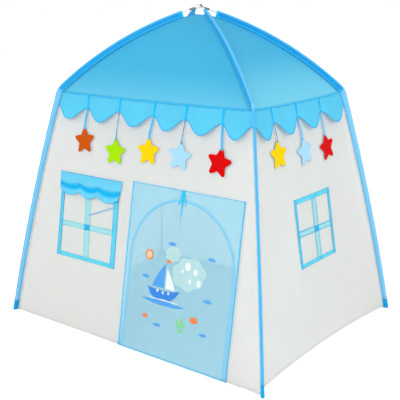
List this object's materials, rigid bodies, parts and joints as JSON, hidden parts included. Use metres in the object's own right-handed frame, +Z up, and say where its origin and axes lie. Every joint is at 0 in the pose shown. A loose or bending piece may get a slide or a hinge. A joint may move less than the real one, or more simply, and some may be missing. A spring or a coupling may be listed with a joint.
{
  "type": "kids play tent",
  "caption": "House-shaped cloth play tent on corner poles that meet at a peak, with a curtained door, windows, scalloped eaves and hanging stars.",
  "frame": {"origin": "on the floor under the peak, at the centre of the footprint", "axes": "+Z up, the long door wall faces -Y, the end walls face +X and -X"},
  "size_m": [1.3122, 1.0122, 1.3072],
  "materials": {
    "pole_rod": "white glass-fibre rod, satin",
    "elbow_plastic": "moulded white plastic",
    "ferrule_steel": "dark plated steel tube",
    "hub_plastic": "moulded white plastic",
    "sleeve_cloth": "folded sky-blue nylon with seam lines",
    "foot_pocket_cloth": "deeper blue webbing",
    "wall_cloth": "thin white nylon",
    "roof_cloth": "sky-blue nylon",
    "valance_cloth": "sky-blue nylon with a bound edge",
    "window_mesh": "fine white netting",
    "strap_cord": "thin grey-blue strap",
    "curtain_cloth": "gathered sky-blue nylon",
    "tape": "sky-blue binding tape",
    "door_cloth": "sheer pale-blue nylon with a printed scene",
    "felt_orange": "felt",
    "felt_green": "felt",
    "felt_yellow": "felt",
    "felt_light_blue": "felt",
    "felt_red": "felt"
  },
  "bodies": {
    "tent": {"door_arch_binding": "tape", "elbow_front_left": "elbow_plastic", "elbow_front_right": "elbow_plastic", "elbow_rear_left": "elbow_plastic", "elbow_rear_right": "elbow_plastic", "ferrule_front_left": "ferrule_steel", "ferrule_front_right": "ferrule_steel", "ferrule_rear_left": "ferrule_steel", "ferrule_rear_right": "ferrule_steel", "foot_pocket_front_left": "foot_pocket_cloth", "foot_pocket_front_right": "foot_pocket_cloth", "foot_pocket_rear_left": "foot_pocket_cloth", "foot_pocket_rear_right": "foot_pocket_cloth", "leg_pole_front_left": "pole_rod", "leg_pole_front_right": "pole_rod", "leg_pole_rear_left": "pole_rod", "leg_pole_rear_right": "pole_rod", "peak_hub": "hub_plastic", "pole_sleeve_front_left": "sleeve_cloth", "pole_sleeve_front_right": "sleeve_cloth", "pole_sleeve_rear_left": "sleeve_cloth", "pole_sleeve_rear_right": "sleeve_cloth", "roof_front": "roof_cloth", "roof_left": "roof_cloth", "roof_pole_front_left": "pole_rod", "roof_pole_front_right": "pole_rod", "roof_pole_rear_left": "pole_rod", "roof_pole_rear_right": "pole_rod", "roof_rear": "roof_cloth", "roof_right": "roof_cloth", "threshold_tape": "wall_cloth", "valance_front": "valance_cloth", "valance_left": "valance_cloth", "valance_rear": "valance_cloth", "valance_right": "valance_cloth", "wall_front": "wall_cloth", "wall_left": "wall_cloth", "wall_rear": "wall_cloth", "wall_right": "wall_cloth", "window_frame_front": "tape", "window_frame_left": "tape", "window_frame_right": "tape", "window_mesh_front": "window_mesh", "window_mesh_left": "window_mesh", "window_mesh_right": "window_mesh", "window_tie_strap": "strap_cord"},
    "door_curtain": {"door_curtain": "door_cloth", "door_tie_tape": "tape"},
    "star_front_green": {"star_front_green": "felt_green"},
    "star_front_light_blue": {"star_front_light_blue": "felt_light_blue"},
    "star_front_orange": {"star_front_orange": "felt_orange"},
    "star_front_red": {"star_front_red": "felt_red"},
    "star_front_yellow": {"star_front_yellow": "felt_yellow"},
    "star_left_light_blue": {"star_left_light_blue": "felt_light_blue"},
    "star_left_red": {"star_left_red": "felt_red"},
    "star_left_yellow": {"star_left_yellow": "felt_yellow"},
    "star_right_light_blue": {"star_right_light_blue": "felt_light_blue"},
    "star_right_red": {"star_right_red": "felt_red"},
    "star_right_yellow": {"star_right_yellow": "felt_yellow"},
    "window_curtain": {"window_curtain_front": "curtain_cloth"}
  },
  "joints": [
    {"name": "door_curtain_hinge", "type": "hinge", "parent": "tent", "child": "door_curtain", "pos_m": [0.2295, -0.384, 0.64492], "axis": [-1, 0, 0], "range_deg": [0, 120]},
    {"name": "window_curtain_hinge", "type": "hinge", "parent": "tent", "child": "window_curtain", "pos_m": [-0.264, -0.38663, 0.63168], "axis": [-1, 0, 0], "range_deg": [0, 120]},
    {"name": "star_front_green_swing", "type": "hinge", "parent": "tent", "child": "star_front_green", "pos_m": [-0.14174, -0.32135, 0.95128], "axis": [-1, 0, 0], "range_deg": [0, 90]},
    {"name": "star_front_light_blue_swing", "type": "hinge", "parent": "tent", "child": "star_front_light_blue", "pos_m": [0.18852, -0.32135, 0.95128], "axis": [-1, 0, 0], "range_deg": [0, 90]},
    {"name": "star_front_orange_swing", "type": "hinge", "parent": "tent", "child": "star_front_orange", "pos_m": [-0.3153, -0.32135, 0.95128], "axis": [-1, 0, 0], "range_deg": [0, 90]},
    {"name": "star_front_red_swing", "type": "hinge", "parent": "tent", "child": "star_front_red", "pos_m": [0.35506, -0.32135, 0.95128], "axis": [-1, 0, 0], "range_deg": [0, 90]},
    {"name": "star_front_yellow_swing", "type": "hinge", "parent": "tent", "child": "star_front_yellow", "pos_m": [0.03555, -0.32135, 0.95128], "axis": [-1, 0, 0], "range_deg": [0, 90]},
    {"name": "star_left_light_blue_swing", "type": "hinge", "parent": "tent", "child": "star_left_light_blue", "pos_m": [-0.47167, -0.03111, 0.95133], "axis": [0, 1, 0], "range_deg": [0, 90]},
    {"name": "star_left_red_swing", "type": "hinge", "parent": "tent", "child": "star_left_red", "pos_m": [-0.47167, 0.14411, 0.95133], "axis": [0, 1, 0], "range_deg": [0, 90]},
    {"name": "star_left_yellow_swing", "type": "hinge", "parent": "tent", "child": "star_left_yellow", "pos_m": [-0.47167, -0.19934, 0.95133], "axis": [0, 1, 0], "range_deg": [0, 90]},
    {"name": "star_right_light_blue_swing", "type": "hinge", "parent": "tent", "child": "star_right_light_blue", "pos_m": [0.47167, -0.03111, 0.95133], "axis": [0, -1, 0], "range_deg": [0, 90]},
    {"name": "star_right_red_swing", "type": "hinge", "parent": "tent", "child": "star_right_red", "pos_m": [0.47167, 0.14411, 0.95133], "axis": [0, -1, 0], "range_deg": [0, 90]},
    {"name": "star_right_yellow_swing", "type": "hinge", "parent": "tent", "child": "star_right_yellow", "pos_m": [0.47167, -0.19934, 0.95133], "axis": [0, -1, 0], "range_deg": [0, 90]}
  ]
}
